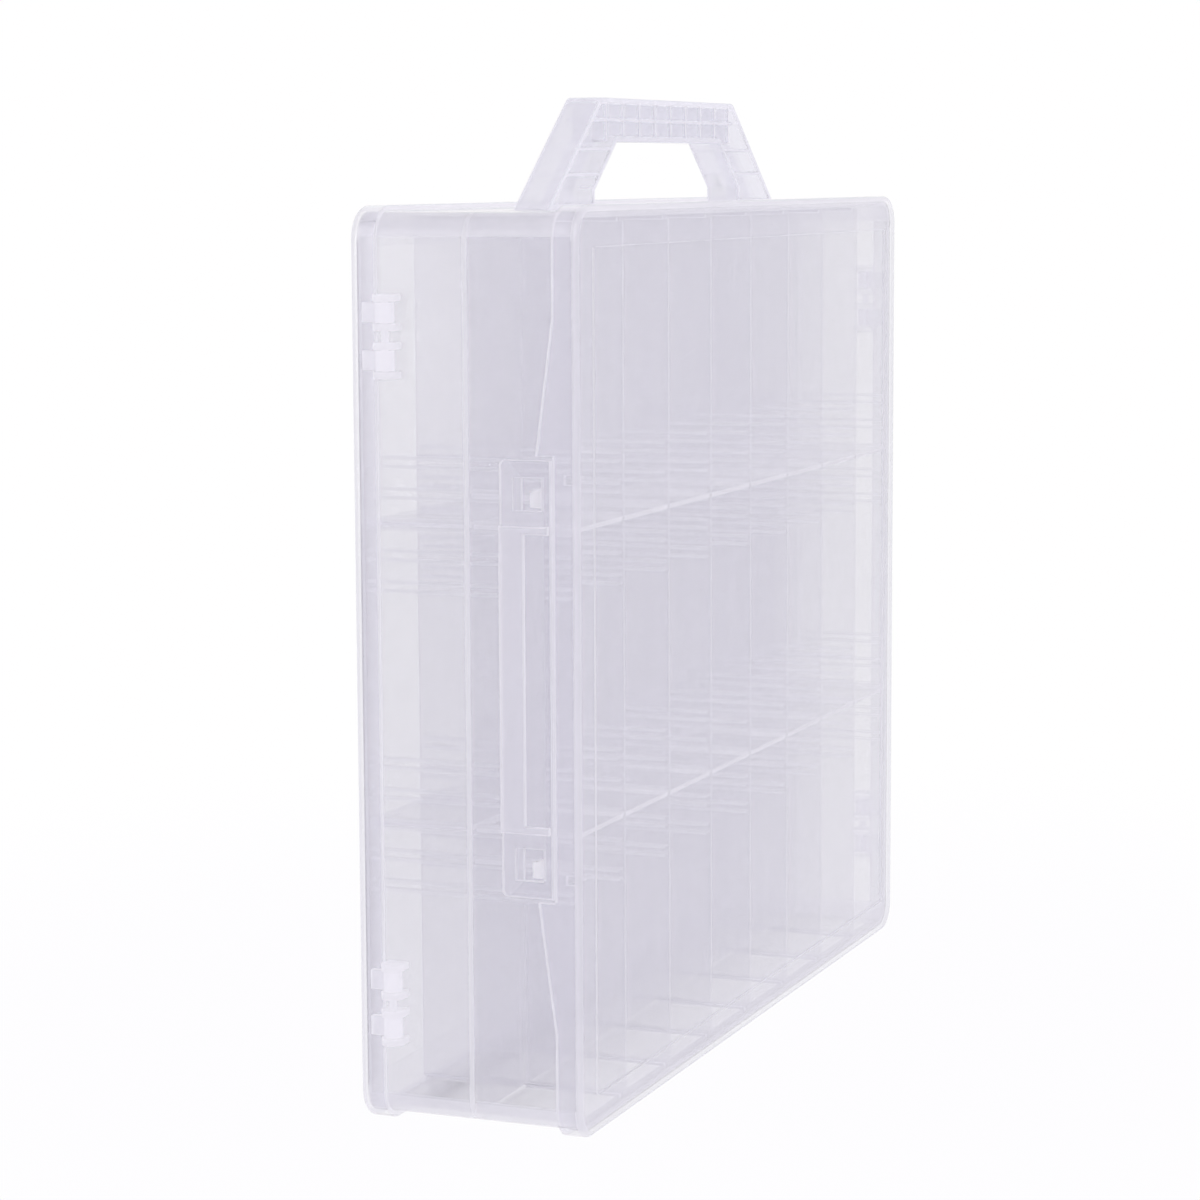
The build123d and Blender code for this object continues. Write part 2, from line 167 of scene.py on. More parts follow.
@dataclass(frozen=True)
class Polypropylene:
    """Natural polypropylene, injection moulded in a polished tool with a faint spark texture.

    The resin is not clear: its crystals scatter blue light back and let warmer light through. A
    thin wall is therefore see-through with a cool haze, and a thick section looks milky white. The
    grey of the thin colour is painted shade over the resin's own lavender tint, and the white that
    rounded edges and fittings take from the thick colour is partly a painted highlight. Haze length
    is the depth that scatters nearly two thirds of the light, most haze caps that share, and glow
    is the part of it that comes out at the far side. The pattern sizes are the widths of the flow
    marks, the ripples and the grain. All lengths are in millimetres.
    """

    name: str
    # The grey of the thin colour is painted shade; its lavender tint is the resin's own.
    thin_colour: str = "#D0CEDB"
    # The thick colour is also the painted highlight on rounded edges and fittings.
    thick_colour: str = "#FDFCFF"
    passed_colour: str = WHITE
    haze_length: float = 8.0
    most_haze: float = 1.0
    glow: float = 0.45
    roughness: tuple[float, float] = (0.2, 0.26)
    ior: float = 1.49
    slant_power: float = 5.0
    noise_range: tuple[float, float] = (0.3, 0.7)
    flow_mark: float = 38.0
    flow_strength: float = 0.10
    flow_detail: float = 3.0
    flow_fineness: float = 0.55
    ripple: float = 9.0
    ripple_height: float = 0.035
    ripple_strength: float = 0.6
    ripple_detail: float = 1.0
    grain: float = 0.7
    grain_detail: float = 2.0

    def build(self) -> bpy.types.Material:
        """Make the material.

        Returns:
            A material whose see-through share follows the wall depth stored on the mesh.
        """
        material = bpy.data.materials.new(self.name)
        material.use_nodes = True
        tree = material.node_tree
        tree.nodes.clear()
        place = add_node(tree, "ShaderNodeTexCoord").outputs["Object"]
        haze = self._haze(tree, place)
        # Thin walls take the painted shade of the thin colour; thick sections, edges and fittings
        # take the white of the thick colour, partly a painted highlight.
        colour = add_node(
            tree,
            "ShaderNodeMix",
            {0: haze, 6: linear_colour(self.thin_colour), 7: linear_colour(self.thick_colour)},
            data_type="RGBA",
        ).outputs[2]
        normal, rough = self._surface(tree, place)
        solid = add_node(
            tree,
            "ShaderNodeBsdfPrincipled",
            {"Base Color": colour, "Roughness": rough, "IOR": self.ior, "Normal": normal},
        )
        glow = add_node(tree, "ShaderNodeBsdfTranslucent", {"Color": colour, "Normal": normal})
        milk = add_node(
            tree, "ShaderNodeMixShader", {0: self.glow, 1: solid.outputs[0], 2: glow.outputs[0]}
        )
        clear = add_node(
            tree, "ShaderNodeBsdfTransparent", {"Color": linear_colour(self.passed_colour)}
        )
        gloss = add_node(
            tree,
            "ShaderNodeBsdfGlossy",
            {"Color": linear_colour(WHITE), "Roughness": rough, "Normal": normal},
        )
        skin = add_node(
            tree,
            "ShaderNodeMixShader",
            {0: self._mirror(tree, normal), 1: clear.outputs[0], 2: gloss.outputs[0]},
        )
        surface = add_node(
            tree, "ShaderNodeMixShader", {0: haze, 1: skin.outputs[0], 2: milk.outputs[0]}
        )
        add_node(tree, "ShaderNodeOutputMaterial", {"Surface": surface.outputs[0]})
        return material

    def _mirror(
        self, tree: bpy.types.NodeTree, normal: bpy.types.NodeSocket
    ) -> bpy.types.NodeSocket:
        """Share of light that the outer skin mirrors. Light that leaves the plastic passes freely.

        Args:
            tree: node tree of the material.
            normal: normal with its bumps.

        Returns:
            Socket with the share, which is small head on and grows at a slant.
        """
        head_on = ((self.ior - 1) / (self.ior + 1)) ** 2
        slant = add_node(tree, "ShaderNodeLayerWeight", {"Normal": normal}).outputs["Facing"]
        steep = add_node(
            tree, "ShaderNodeMath", {0: slant, 1: self.slant_power}, operation="POWER"
        )
        share = add_node(
            tree,
            "ShaderNodeMath",
            {0: steep.outputs[0], 1: 1 - head_on, 2: head_on},
            operation="MULTIPLY_ADD",
        )
        inside = add_node(tree, "ShaderNodeNewGeometry").outputs["Backfacing"]
        outside = add_node(tree, "ShaderNodeMath", {0: 1.0, 1: inside}, operation="SUBTRACT")
        return add_node(
            tree,
            "ShaderNodeMath",
            {0: share.outputs[0], 1: outside.outputs[0]},
            operation="MULTIPLY",
        ).outputs[0]

    def _haze(self, tree: bpy.types.NodeTree, place: bpy.types.NodeSocket) -> bpy.types.NodeSocket:
        """Share of light that a face scatters, which grows with the plastic behind it.

        Flow marks, left where the melt ran into the mould, vary it a little.

        Args:
            tree: node tree of the material.
            place: coordinates of the piece.

        Returns:
            Socket with the share, from 0 to 1.
        """
        # The depth read here is raised on edges and fittings as a painted highlight.
        depth = add_node(tree, "ShaderNodeAttribute", attribute_name=DEPTH_AND_HIGHLIGHT_ATTRIBUTE)
        optical = add_node(
            tree,
            "ShaderNodeMath",
            {0: depth.outputs["Fac"], 1: -1 / (self.haze_length * MM)},
            operation="MULTIPLY",
        )
        flow = add_node(
            tree,
            "ShaderNodeTexNoise",
            {
                "Vector": place,
                "Scale": 1 / (self.flow_mark * MM),
                "Detail": self.flow_detail,
                "Roughness": self.flow_fineness,
            },
        )
        vary = add_node(
            tree,
            "ShaderNodeMapRange",
            {
                "Value": flow.outputs[0],
                "From Min": self.noise_range[0],
                "From Max": self.noise_range[1],
                "To Min": 1 - self.flow_strength,
                "To Max": 1 + self.flow_strength,
            },
        )
        varied = add_node(
            tree,
            "ShaderNodeMath",
            {0: optical.outputs[0], 1: vary.outputs[0]},
            operation="MULTIPLY",
        )
        passed = add_node(tree, "ShaderNodeMath", {0: varied.outputs[0]}, operation="EXPONENT")
        scattered = add_node(
            tree,
            "ShaderNodeMath",
            {0: 1.0, 1: passed.outputs[0]},
            operation="SUBTRACT",
            use_clamp=True,
        )
        return add_node(
            tree,
            "ShaderNodeMath",
            {0: scattered.outputs[0], 1: self.most_haze},
            operation="MINIMUM",
        ).outputs[0]

    def _surface(
        self, tree: bpy.types.NodeTree, place: bpy.types.NodeSocket
    ) -> tuple[bpy.types.NodeSocket, bpy.types.NodeSocket]:
        """Slow ripple left by shrinkage, and the fine spark texture of the mould in the gloss.

        Args:
            tree: node tree of the material.
            place: coordinates of the piece.

        Returns:
            Sockets with the normal and the roughness.
        """
        ripple = add_node(
            tree,
            "ShaderNodeTexNoise",
            {"Vector": place, "Scale": 1 / (self.ripple * MM), "Detail": self.ripple_detail},
        )
        wavy = add_node(
            tree,
            "ShaderNodeBump",
            {
                "Strength": self.ripple_strength,
                "Distance": self.ripple_height * MM,
                "Height": ripple.outputs[0],
            },
        )
        # Real spark texture is about 0.05 mm; it is drawn coarser here so that it shows
        grain = add_node(
            tree,
            "ShaderNodeTexNoise",
            {"Vector": place, "Scale": 1 / (self.grain * MM), "Detail": self.grain_detail},
        )
        rough = add_node(
            tree,
            "ShaderNodeMapRange",
            {
                "Value": grain.outputs[0],
                "From Min": self.noise_range[0],
                "From Max": self.noise_range[1],
                "To Min": self.roughness[0],
                "To Max": self.roughness[1],
            },
        )
        return wavy.outputs[0], rough.outputs[0]


class Finishes:
    """The finish of each material slot, made once and shared by its pieces."""

    RECIPES = {
        Slot.BODY: Polypropylene("polypropylene_body", haze_length=6.8),
        Slot.HANDLE: Polypropylene(
            "polypropylene_handle", thin_colour="#E3E2EC", thick_colour="#F7F6FC", haze_length=3.0
        ),
        Slot.DIVIDER: Polypropylene("polypropylene_dividers", haze_length=8.8, most_haze=0.52),
        Slot.SHELF: Polypropylene("polypropylene_shelves", haze_length=7.0),
        Slot.LID: Polypropylene("polypropylene_lids", thin_colour="#E4E2EE", haze_length=6.8),
        Slot.LATCH: Polypropylene("polypropylene_latches", haze_length=5.4),
    }

    def __init__(self) -> None:
        """Build every finish."""
        self._made = {slot: recipe.build() for slot, recipe in self.RECIPES.items()}

    def of(self, slot: Slot) -> bpy.types.Material:
        """Material of a slot."""
        return self._made[slot]


@dataclass(frozen=True)
class EdgeRounding:
    """Small radius that the mould leaves on outer edges.

    Wide faces with many notches fold when their edges are rounded, so where a piece has them they
    are divided into triangles that remember the face they come from.
    """

    radius: float = 0.22
    least_edge: float = 0.6
    sharp_angle: float = 30.0
    steps: int = 2
    flat_weight: int = 100
    most_corners: int = 4
    notched: bool = False

    def apply(self, piece: bpy.types.Object) -> None:
        """Round the outer edges of a piece and shade it by angle.

        Args:
            piece: object whose mesh is welded, with flat faces joined.
        """
        shape = bmesh.new()
        shape.from_mesh(piece.data)
        if self.notched:
            whole = shape.faces.layers.int.new(WHOLE_FACE_ATTRIBUTE)
            for number, face in enumerate(shape.faces):
                face[whole] = number
            wide = [face for face in shape.faces if len(face.verts) > self.most_corners]
            bmesh.ops.triangulate(shape, faces=wide)
        sharp_angle = math.radians(self.sharp_angle)
        weight = shape.edges.layers.float.new("bevel_weight_edge")
        for edge in shape.edges:
            sharp = edge.is_manifold and edge.calc_face_angle_signed() > sharp_angle
            if sharp and edge.calc_length() > self.least_edge * MM:
                edge[weight] = 1.0
        shape.to_mesh(piece.data)
        shape.free()
        piece.data.shade_smooth()
        piece.data.set_sharp_from_angle(angle=sharp_angle)
        bevel = piece.modifiers.new("edge_radius", "BEVEL")
        bevel.width = self.radius * MM
        bevel.segments = self.steps
        bevel.limit_method = "WEIGHT"
        bevel.use_clamp_overlap = False
        bevel.loop_slide = False
        even = piece.modifiers.new("flat_faces_stay_flat", "WEIGHTED_NORMAL")
        even.weight = self.flat_weight
        even.keep_sharp = True
        flatten(piece)


@dataclass(frozen=True)
class WallGauge:
    """Measures how much plastic lies behind each face and stores it on the mesh.

    Rounded edges count as deep, so that they come out whiter: a painted edge highlight that stands
    in for light that runs along inside a wall and comes out at its edges. A thick section cools
    slowly and grows larger crystals, so it counts as deeper than it is. The small fittings of a
    hinge or a latch are solid and stand free, so they count as deepest, which whitens them partly
    for their bulk and partly as a painted highlight.
    """

    start: float = 0.02
    furthest: float = 11.0
    edge_depth: float = 7.0
    fitting_depth: float = 13.0
    edge_width: float = 1.2
    straight: float = 0.995
    thin_wall: float = 1.8
    slow_cooling: float = 0.7
    clear_of_wall: float = 0.05

    def apply(self, piece: bpy.types.Object, fittings: tuple[float, float] | None = None) -> None:
        """Write the depth behind each face, in metres, as a face attribute.

        Args:
            piece: object with its final mesh.
            fittings: distance in X of the wall that the fittings stand out from, and how far in Y
                they reach, both from the middle and in millimetres, or None.
        """
        wall_x, reach_y = fittings or (math.inf, 0.0)
        mesh = piece.data
        mesh.calc_loop_triangles()
        places = [v.co for v in mesh.vertices]
        tree = BVHTree.FromPolygons(places, [tuple(p.vertices) for p in mesh.polygons])
        whole = mesh.attributes.get(WHOLE_FACE_ATTRIBUTE)
        group = [item.value for item in whole.data] if whole else range(len(mesh.polygons))
        found: dict[int, list[tuple[float, float]]] = {}
        for triangle in mesh.loop_triangles:
            inward = -mesh.polygons[triangle.polygon_index].normal
            middle = sum((places[i] for i in triangle.vertices), Vector()) / 3
            hit = tree.ray_cast(middle + inward * self.start * MM, inward, self.furthest * MM)
            depth = hit[3] if hit[0] is not None else self.furthest * MM
            found.setdefault(group[triangle.polygon_index], []).append((depth, triangle.area))
        depths = []
        for face in mesh.polygons:
            # Rounded edge strips get a least depth that whitens them, a painted edge highlight.
            least = self.edge_depth * MM if self._is_edge(mesh, face) else 0.0
            place = face.center / MM
            # Hinge and latch fittings get the deepest value: whiter partly for their solid bulk,
            # partly as a painted highlight.
            if abs(place.x) > wall_x + self.clear_of_wall and abs(place.y) < reach_y:
                least = self.fitting_depth * MM
            depth = self._middle(found[group[face.index]])
            depth *= max(1.0, depth / (self.thin_wall * MM)) ** self.slow_cooling
            depths.append(max(least, min(depth, self.furthest * MM)))
        # The stored depth holds the painted highlights of edges and fittings as well as the real
        # depth.
        store = mesh.attributes.new(DEPTH_AND_HIGHLIGHT_ATTRIBUTE, "FLOAT", "FACE")
        store.data.foreach_set("value", depths)

    def _is_edge(self, mesh: bpy.types.Mesh, face: bpy.types.MeshPolygon) -> bool:
        """Whether a face is one narrow strip of a rounded edge.

        Args:
            mesh: mesh of the piece.
            face: the face.

        Returns:
            True for a slanted face that is narrower than the edge width.
        """
        if max(abs(c) for c in face.normal) > self.straight:
            return False
        corners = [mesh.vertices[i].co for i in face.vertices]
        longest = max((a - b).length for a, b in zip(corners, corners[1:] + corners[:1]))
        return face.area < longest * self.edge_width * MM

    @staticmethod
    def _middle(samples: list[tuple[float, float]]) -> float:
        """Median depth of one face, weighed by area.

        Args:
            samples: depth and area of each triangle of the face.

        Returns:
            The depth with half of the area on each side.
        """
        half = sum(area for _, area in samples) / 2
        for depth, area in sorted(samples):
            half -= area
            if half <= 0:
                return depth
        return samples[-1][0]


def flatten(piece: bpy.types.Object) -> None:
    """Turn a piece with modifiers into its plain mesh.

    Args:
        piece: object whose modifiers are evaluated and removed.
    """
    bpy.context.view_layer.update()
    graph = bpy.context.evaluated_depsgraph_get()
    made = bpy.data.meshes.new_from_object(piece.evaluated_get(graph), depsgraph=graph)
    piece.modifiers.clear()
    old, piece.data = piece.data, made
    made.name = piece.name
    bpy.data.meshes.remove(old)


def new_piece(name: str, mesh: bpy.types.Mesh | None = None) -> bpy.types.Object:
    """Add an object to the scene.

    Args:
        name: name of the piece.
        mesh: its mesh, or None for an empty one.

    Returns:
        The object, at the origin.
    """
    piece = bpy.data.objects.new(name, mesh or bpy.data.meshes.new(name))
    bpy.context.scene.collection.objects.link(piece)
    return piece


def welded_copy(
    node: str, name: str, frame: dict, scores: dict[int, tuple[float, ...]] | None = None
) -> bpy.types.Object:
    """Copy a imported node, weld its loose triangles and join those that lie flat.

    Args:
        node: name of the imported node.
        name: name of the new piece.
        frame: what the frame holds.
        scores: for each axis, how far from the origin its faces are divided, in millimetres, where
            another wall joins behind them.

    Returns:
        The new piece, in the node's place.
    """
    shape = bmesh.new()
    shape.from_mesh(frame["nodes"][node].data)
    bmesh.ops.remove_doubles(shape, verts=shape.verts, dist=WELD_DISTANCE * MM)
    bmesh.ops.dissolve_limit(
        shape, angle_limit=math.radians(FLAT_ANGLE), verts=shape.verts, edges=shape.edges
    )
    for axis, places in (scores or {}).items():
        across = Vector(1.0 if k == axis else 0.0 for k in range(3))
        for place in places:
            bmesh.ops.bisect_plane(
                shape,
                geom=[*shape.verts, *shape.edges, *shape.faces],
                dist=TOUCH_DISTANCE * MM,
                plane_co=across * place * MM,
                plane_no=across,
            )
    mesh = bpy.data.meshes.new(name)
    shape.to_mesh(mesh)
    shape.free()
    return new_piece(name, mesh)


@dataclass
class Workshop:
    """What each sub-assembly needs: the frame, the finishes, the edge radius and the wall gauge."""

    frame: dict
    finishes: Finishes
    rounding: EdgeRounding = field(default_factory=EdgeRounding)
    gauge: WallGauge = field(default_factory=WallGauge)

    def finish(
        self,
        piece: bpy.types.Object,
        body: str,
        slot: Slot,
        nodes: list[str],
        rounding: EdgeRounding | None = None,
        fittings: tuple[float, float] | None = None,
    ) -> None:
        """Round, gauge and dress a piece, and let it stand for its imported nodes.

        Args:
            piece: object with its plain mesh.
            body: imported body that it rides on.
            slot: material slot that it takes its finish from.
            nodes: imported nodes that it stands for.
            rounding: edge radius, if it isn't the usual one.
            fittings: where small solid fittings stand, for the wall gauge.
        """
        (rounding or self.rounding).apply(piece)
        self.gauge.apply(piece, fittings)
        piece.data.materials.clear()
        piece.data.materials.append(self.finishes.of(slot))
        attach(piece, body)
        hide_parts(*nodes)
        LOG.info("%s: %d faces, rides on %s", piece.name, len(piece.data.polygons), body)


class GeometryTree:
    """A Geometry Nodes tree with named inputs that makes one mesh."""

    KINDS = {
        float: "NodeSocketFloat",
        int: "NodeSocketInt",
        tuple: "NodeSocketVector",
        bpy.types.Material: "NodeSocketMaterial",
    }

    def __init__(self, name: str, sizes: dict[str, object]) -> None:
        """Start a tree.

        Args:
            name: name of the tree.
            sizes: value of each named input.
        """
        self.tree = bpy.data.node_groups.new(name, "GeometryNodeTree")
        self.sizes = sizes
        for label, value in sizes.items():
            kind = next(k for t, k in self.KINDS.items() if isinstance(value, t))
            self.tree.interface.new_socket(label, in_out="INPUT", socket_type=kind)
        self.tree.interface.new_socket(
            "Geometry", in_out="OUTPUT", socket_type="NodeSocketGeometry"
        )
        self.inputs = self.tree.nodes.new("NodeGroupInput").outputs

    def add(
        self, kind: str, inputs: dict[str | int, object] | None = None, **settings: object
    ) -> bpy.types.NodeSocket:
        """Add a node to the tree.

        Args:
            kind: type name of the node.
            inputs: values and links of its inputs.
            settings: properties of the node.

        Returns:
            Its first output.
        """
        return add_node(self.tree, kind, inputs, **settings).outputs[0]

    def plate(
        self, width: object, height: object, thickness: object, radius: object, steps: int
    ) -> bpy.types.NodeSocket:
        """Flat plate with rounded corners, centred on the origin.

        Args:
            width: length along X.
            height: length along Y.
            thickness: length along Z.
            radius: radius of its four corners.
            steps: points along each corner.

        Returns:
            Socket with the closed mesh.
        """
        outline = self.add(
            "GeometryNodeCurvePrimitiveQuadrilateral", {"Width": width, "Height": height}
        )
        rounded = self.add(
            "GeometryNodeFilletCurve",
            {"Curve": outline, "Radius": radius, "Count": steps},
            mode="POLY",
        )
        sheet = self.add("GeometryNodeFillCurve", {"Curve": rounded}, mode="NGONS")
        half_down = self.add("ShaderNodeMath", {0: thickness, 1: -0.5}, operation="MULTIPLY")
        down = self.add("ShaderNodeCombineXYZ", {"Z": half_down})
        low = self.add("GeometryNodeTransform", {"Geometry": sheet, "Translation": down})
        rise = self.add("ShaderNodeCombineXYZ", {"Z": thickness})
        risen = self.add(
            "GeometryNodeExtrudeMesh", {"Mesh": low, "Offset": rise, "Individual": False}
        )
        base = self.add("GeometryNodeFlipFaces", {"Mesh": low})
        both = self.add("GeometryNodeJoinGeometry", {"Geometry": [risen, base]})
        return self.add(
            "GeometryNodeMergeByDistance", {"Geometry": both, "Distance": TOUCH_DISTANCE * MM}
        )

    def copies(
        self, mesh: object, count: object, axis: str, step: object, start: object
    ) -> bpy.types.NodeSocket:
        """Copies of a mesh along an axis.

        Args:
            mesh: what is repeated.
            count: number of copies.
            axis: letter of the axis.
            step: distance from each copy to the next.
            start: place of the first copy.

        Returns:
            Socket with the copies, realised.
        """
        offset = self.add("ShaderNodeCombineXYZ", {axis: step})
        line = self.add(
            "GeometryNodeMeshLine", {"Count": count, "Start Location": start, "Offset": offset}
        )
        placed = self.add("GeometryNodeInstanceOnPoints", {"Points": line, "Instance": mesh})
        return self.add("GeometryNodeRealizeInstances", {"Geometry": placed})

    def row(
        self, mesh: object, count: object, axis: str, step: object, middle: object
    ) -> bpy.types.NodeSocket:
        """Copies of a mesh along an axis, with their middle at a given place.

        Args:
            mesh: what is repeated.
            count: number of copies.
            axis: letter of the axis.
            step: distance from each copy to the next.
            middle: place of the middle.

        Returns:
            Socket with the copies, realised.
        """
        gaps = self.add("ShaderNodeMath", {0: count, 1: 1}, operation="SUBTRACT")
        half = self.add("ShaderNodeMath", {0: gaps, 1: -0.5}, operation="MULTIPLY")
        first = self.add("ShaderNodeMath", {0: half, 1: step}, operation="MULTIPLY")
        back = self.add("ShaderNodeCombineXYZ", {axis: first})
        start = self.add("ShaderNodeVectorMath", {0: middle, 1: back}, operation="ADD")
        return self.copies(mesh, count, axis, step, start)

    def finish(self, geometry: bpy.types.NodeSocket) -> None:
        """End the tree in Realize Instances and Set Material.

        Args:
            geometry: what the tree has made.
        """
        whole = self.add("GeometryNodeRealizeInstances", {"Geometry": geometry})
        dressed = self.add(
            "GeometryNodeSetMaterial", {"Geometry": whole, "Material": self.inputs["Material"]}
        )
        add_node(self.tree, "NodeGroupOutput", {0: dressed})

    def make(self, name: str, place: Matrix) -> bpy.types.Object:
        """Run the tree and put its mesh in place.

        Args:
            name: name of the piece.
            place: matrix that is applied to the mesh.

        Returns:
            The piece, as a plain mesh.
        """
        piece = new_piece(name)
        modifier = piece.modifiers.new(name, "NODES")
        modifier.node_group = self.tree
        for item in self.tree.interface.items_tree:
            if item.in_out == "INPUT":
                modifier[item.identifier] = self.sizes[item.name]
        flatten(piece)
        piece.data.transform(place)
        return piece


@dataclass
class ColumnLayout:
    """Sizes that the body, the dividers and the shelves share."""

    columns: int = 8
    inner_half_width: float = 161.1
    inner_height: float = 282.2
    middle_height: float = 145.0
    divider: float = 1.6
    near: float = 1.0
    far: float = 35.7
    play: float = 0.2
    corner: float = 1.2
    corner_steps: int = 4
    rail_thickness: float = 1.0
    slot: float = 1.8
    slot_pitch: float = 9.75
    slots: int = 5
    levels: tuple[float, float] = (96.5, 191.5)

    @property
    def clear(self) -> float:
        """Clear width of one column."""
        return (2 * self.inner_half_width - (self.columns - 1) * self.divider) / self.columns

    @property
    def pitch(self) -> float:
        """Distance from one column to the next."""
        return self.clear + self.divider

    @property
    def depth(self) -> float:
        """Depth of a divider or a shelf."""
        return self.far - self.near


@dataclass
class ColumnDividers:
    """Upright plates with guide rails on both faces, seven to each side."""

    layout: ColumnLayout
    rail_proud: float = 1.2
    rail_setback: float = 1.3
    end_play: float = 0.15

    def build(self, shop: Workshop, side: Side) -> None:
        """Make the dividers of one side.

        Args:
            shop: frame, finishes and tools.
            side: which side of the case.
        """
        lay = self.layout
        rail_size = (
            lay.divider + 2 * self.rail_proud,
            lay.depth - self.rail_setback,
            lay.rail_thickness,
        )
        tree = GeometryTree(
            f"Column dividers {side.word}",
            {
                "Plate Depth": lay.depth * MM,
                "Plate Height": (lay.inner_height - 2 * self.end_play) * MM,
                "Plate Thickness": lay.divider * MM,
                "Corner Radius": lay.corner * MM,
                "Rail Size": tuple(length * MM for length in rail_size),
                "Rail Place": (0.0, self.rail_setback / 2 * MM, 0.0),
                "Rail Step": (lay.slot + lay.rail_thickness) * MM,
                "Slot Pitch": lay.slot_pitch * MM,
                "Slots": lay.slots,
                "Lower Slots": (lay.levels[0] - lay.middle_height) * MM,
                "Level Step": (lay.levels[1] - lay.levels[0]) * MM,
                "Columns": lay.columns,
                "Column Pitch": lay.pitch * MM,
                "Row Place": (0.0, -(lay.near + lay.depth / 2) * MM, lay.middle_height * MM),
                "Material": shop.finishes.of(Slot.DIVIDER),
            },
        )
        size = tree.inputs
        plate = tree.plate(
            size["Plate Depth"],
            size["Plate Height"],
            size["Plate Thickness"],
            size["Corner Radius"],
            lay.corner_steps,
        )
        quarter = math.pi / 2
        upright = tree.add(
            "GeometryNodeTransform", {"Geometry": plate, "Rotation": (quarter, 0.0, quarter)}
        )
        rail = tree.add("GeometryNodeMeshCube", {"Size": size["Rail Size"]})
        pair = tree.row(rail, 2, "Z", size["Rail Step"], size["Rail Place"])
        group = tree.row(pair, size["Slots"], "Z", size["Slot Pitch"], (0.0, 0.0, 0.0))
        lowest = tree.add("ShaderNodeCombineXYZ", {"Z": size["Lower Slots"]})
        rails = tree.copies(group, len(lay.levels), "Z", size["Level Step"], lowest)
        divider = tree.add(
            "GeometryNodeMeshBoolean",
            {"Mesh 2": [upright, rails]},
            operation="UNION",
            solver="EXACT",
        )
        between = tree.add("ShaderNodeMath", {0: size["Columns"], 1: 1}, operation="SUBTRACT")
        tree.finish(tree.row(divider, between, "X", size["Column Pitch"], size["Row Place"]))
        piece = tree.make(f"column_dividers_{side.word}", side.turn)
        nodes = [f"column_divider_{side.word}_{k}" for k in range(1, lay.columns)]
        shop.finish(piece, "case", Slot.DIVIDER, nodes, EdgeRounding(notched=True))


@dataclass
class Shelves:
    """Small plates that rest on pairs of rails, one to each column and level."""

    layout: ColumnLayout
    thickness: float = 1.5

    def build(self, shop: Workshop, side: Side, level_word: str, level: float) -> None:
        """Make one row of shelves.

        Args:
            shop: frame, finishes and tools.
            side: which side of the case.
            level_word: lower or upper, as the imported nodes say.
            level: height of the row.
        """
        lay = self.layout
        tree = GeometryTree(
            f"Shelves {side.word} {level_word}",
            {
                "Plate Width": (lay.clear - 2 * lay.play) * MM,
                "Plate Depth": lay.depth * MM,
                "Plate Thickness": self.thickness * MM,
                "Corner Radius": lay.corner * MM,
                "Columns": lay.columns,
                "Column Pitch": lay.pitch * MM,
                "Row Place": (0.0, -(lay.near + lay.depth / 2) * MM, level * MM),
                "Material": shop.finishes.of(Slot.SHELF),
            },
        )
        size = tree.inputs
        plate = tree.plate(
            size["Plate Width"],
            size["Plate Depth"],
            size["Plate Thickness"],
            size["Corner Radius"],
            lay.corner_steps,
        )
        tree.finish(tree.row(plate, size["Columns"], "X", size["Column Pitch"], size["Row Place"]))
        piece = tree.make(f"shelves_{side.word}_{level_word}", side.turn)
        nodes = [f"shelf_{side.word}_{level_word}_{k}" for k in range(1, lay.columns + 1)]
        shop.finish(piece, "case", Slot.SHELF, nodes)


@dataclass
class CaseBody:
    """Four walls and a middle wall, with guide rails, channels, hinge ears and latch hooks."""

    layout: ColumnLayout
    node: str = "case_body"
    outer_half_width: float = 162.9
    middle_wall: float = 1.6
    rail_reach: float = 34.4

    def build(self, shop: Workshop) -> None:
        """Dress the body, with a band wherever a wall or a rail joins behind a face.

        Args:
            shop: frame, finishes and tools.
        """
        lay = self.layout
        each_way = lay.slots // 2
        rails = tuple(
            level + step * lay.slot_pitch + side * edge
            for level in lay.levels
            for step in range(-each_way, each_way + 1)
            for side in (-1, 1)
            for edge in (lay.slot / 2, lay.slot / 2 + lay.rail_thickness)
        )
        ends = tuple(lay.middle_height + up * lay.inner_height / 2 for up in (-1, 1))
        scores = {
            0: (-lay.inner_half_width, lay.inner_half_width),
            1: (-self.rail_reach, -self.middle_wall / 2, self.middle_wall / 2, self.rail_reach),
            2: (*rails, *ends),
        }
        piece = welded_copy(self.node, "case_body_shell", shop.frame, scores)
        ears_and_hooks = (self.outer_half_width, lay.far)
        shop.finish(piece, "case", Slot.BODY, [self.node], fittings=ears_and_hooks)


@dataclass
class CarryHandle:
    """Flat handle of I section with cross ribs, held by four tenons."""

    node: str = "handle"
    edge: float = 0.35

    def build(self, shop: Workshop) -> None:
        """Dress the handle."""
        piece = welded_copy(self.node, "carry_handle", shop.frame)
        shop.finish(piece, "case", Slot.HANDLE, [self.node], EdgeRounding(radius=self.edge))


@dataclass
class Lid:
    """Shallow tray over one side, with a panel set back, wings by the latch and snap barrels."""

    side: Side
    half_width: float = 165.0
    height: float = 290.0
    half_depth: float = 38.0
    wall: float = 1.8
    panel_inset: tuple[float, float] = (14.0, 12.8)
    barrel_reach: float = 28.3

    def build(self, shop: Workshop) -> None:
        """Dress the lid, with a band along its border where the rim joins.

        Args:
            shop: frame, finishes and tools.
        """
        node = f"{self.side.word}_lid"
        inner, panel = self.half_width - self.wall, self.half_width - self.panel_inset[0]
        low, panel_low = self.wall, self.panel_inset[1]
        face = self.half_depth - self.wall
        scores = {
            0: (-inner, -panel, panel, inner),
            1: (-face, face),
            2: (low, panel_low, self.height - panel_low, self.height - low),
        }
        piece = welded_copy(node, f"{node}_shell", shop.frame, scores)
        barrels = (self.half_width, self.barrel_reach)
        shop.finish(piece, node, Slot.LID, [node], fittings=barrels)


